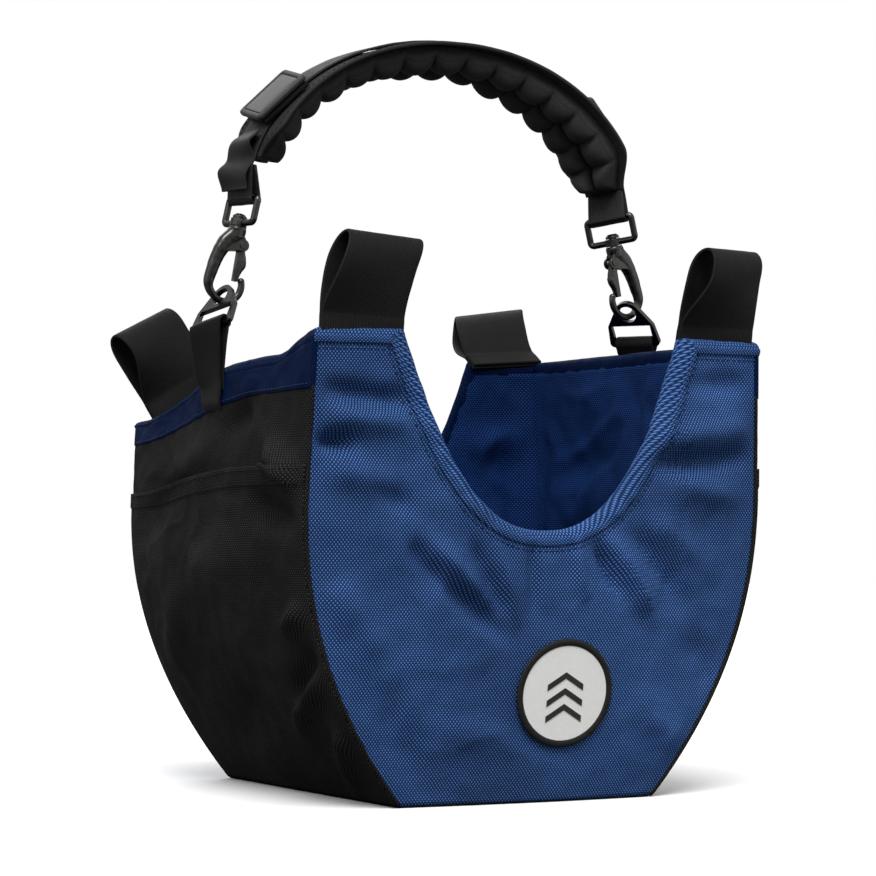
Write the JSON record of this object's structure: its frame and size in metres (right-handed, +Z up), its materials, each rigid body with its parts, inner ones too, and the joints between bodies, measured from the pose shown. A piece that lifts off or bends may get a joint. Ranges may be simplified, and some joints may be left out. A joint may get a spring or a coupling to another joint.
{
  "type": "carry bag",
  "caption": "Open-topped fabric carry bag with scooped front and back rims, corner webbing loops and a padded swing handle on snap hooks.",
  "frame": {"origin": "centre of the flat bottom, on the surface the bag stands on", "axes": "+X along the front panel to the right, +Y from the front panel to the back panel, +Z up"},
  "size_m": [0.3162, 0.314, 0.4463],
  "materials": {
    "blue_fabric": "coarse woven nylon, dark blue",
    "lining_fabric": "plain woven lining, navy",
    "black_fabric": "coarse woven nylon, black",
    "webbing": "woven nylon webbing, black",
    "pad_fabric": "knitted pad cover, black",
    "black_nickel": "cast zinc with black nickel plating",
    "pin_steel": "plain steel",
    "keeper_rubber": "moulded rubber, satin",
    "grey_inset": "glossy grey label panel, blank",
    "patch_border": "embroidered black border",
    "patch_face": "embroidered off-white ground",
    "foam": "closed-cell foam sheet",
    "board": "stiff plastic base board"
  },
  "bodies": {
    "bag": {"front_panel": "blue_fabric", "back_panel": "blue_fabric", "left_gusset": "black_fabric", "right_gusset": "black_fabric", "left_yoke": "blue_fabric", "right_yoke": "blue_fabric", "left_pocket": "black_fabric", "right_pocket": "black_fabric", "bottom_panel": "black_fabric", "bottom_board": "board", "bottom_lining": "lining_fabric", "front_lining": "lining_fabric", "back_lining": "lining_fabric", "left_lining": "lining_fabric", "right_lining": "lining_fabric", "front_foam": "foam", "back_foam": "foam", "left_foam": "foam", "right_foam": "foam", "front_hem": "blue_fabric", "back_hem": "blue_fabric", "left_hem": "blue_fabric", "right_hem": "blue_fabric", "loop_tails": "webbing", "patch_base": "patch_border", "patch_face": "patch_face", "left_anchor_web": "webbing", "right_anchor_web": "webbing"},
    "left_ring": {"left_ring": "black_nickel"},
    "right_ring": {"right_ring": "black_nickel"},
    "handle": {"strap_webbing": "webbing", "strap_slack": "webbing", "pad_backing": "pad_fabric", "pad_row_front": "pad_fabric", "pad_row_back": "pad_fabric", "left_keeper_band": "keeper_rubber", "right_keeper_band": "keeper_rubber", "left_keeper_plate": "keeper_rubber", "right_keeper_plate": "keeper_rubber", "left_keeper_inset": "grey_inset", "right_keeper_inset": "grey_inset", "left_swivel_loop": "black_nickel", "right_swivel_loop": "black_nickel"},
    "left_hook": {"left_hook": "black_nickel", "left_swivel_stud": "black_nickel", "left_gate_pin": "pin_steel", "left_gate_spring": "pin_steel"},
    "right_hook": {"right_hook": "black_nickel", "right_swivel_stud": "black_nickel", "right_gate_pin": "pin_steel", "right_gate_spring": "pin_steel"},
    "left_gate": {"left_gate": "black_nickel"},
    "right_gate": {"right_gate": "black_nickel"},
    "loop_front_left": {"loop_front_left": "webbing"},
    "loop_front_right": {"loop_front_right": "webbing"},
    "loop_back_left": {"loop_back_left": "webbing"},
    "loop_back_right": {"loop_back_right": "webbing"}
  },
  "joints": [
    {"name": "handle_swing", "type": "hinge", "parent": "bag", "child": "handle", "pos_m": [0, 0, 0.286], "axis": [1, 0, 0], "range_deg": [-44, 41]},
    {"name": "left_ring_tilt", "type": "hinge", "parent": "bag", "child": "left_ring", "pos_m": [-0.14718, -0.00811, 0.27057], "axis": [-0.3664, 0.9069, -0.2079], "range_deg": [-1.5, 1.5]},
    {"name": "right_ring_tilt", "type": "hinge", "parent": "bag", "child": "right_ring", "pos_m": [0.14709, 0.00733, 0.27018], "axis": [-0.5878, 0.809, 0], "range_deg": [-1.5, 1.5]},
    {"name": "left_hook_swivel", "type": "hinge", "parent": "handle", "child": "left_hook", "pos_m": [-0.137, 0, 0.286], "axis": [0.225, 0, 0.9744], "range_deg": [0, 23]},
    {"name": "right_hook_swivel", "type": "hinge", "parent": "handle", "child": "right_hook", "pos_m": [0.137, 0, 0.286], "axis": [-0.225, 0, 0.9744], "range_deg": [0, 23]},
    {"name": "left_gate_open", "type": "hinge", "parent": "left_hook", "child": "left_gate", "pos_m": [-0.12485, 0, 0.3186], "axis": [0, 1, 0], "range_deg": [0, 22], "stiffness_Nm_per_rad": 0.02, "springref_deg": -17.19},
    {"name": "right_gate_open", "type": "hinge", "parent": "right_hook", "child": "right_gate", "pos_m": [0.1249, -0.00063, 0.31861], "axis": [0.1356, -0.9903, 0.0313], "range_deg": [0, 22], "stiffness_Nm_per_rad": 0.02, "springref_deg": -17.19},
    {"name": "loop_front_left_fold", "type": "hinge", "parent": "bag", "child": "loop_front_left", "pos_m": [-0.11296, -0.13675, 0.26571], "axis": [1, 0, 0], "range_deg": [-50, 60]},
    {"name": "loop_front_right_fold", "type": "hinge", "parent": "bag", "child": "loop_front_right", "pos_m": [0.11296, -0.13675, 0.2658], "axis": [1, 0, 0], "range_deg": [-55, 55]},
    {"name": "loop_back_left_fold", "type": "hinge", "parent": "bag", "child": "loop_back_left", "pos_m": [-0.11073, 0.12521, 0.23972], "axis": [0.8746, 0, 0.4848], "range_deg": [-50, 45]},
    {"name": "loop_back_right_fold", "type": "hinge", "parent": "bag", "child": "loop_back_right", "pos_m": [0.11296, 0.12075, 0.2658], "axis": [1, 0, 0], "range_deg": [-10, 95]}
  ]
}
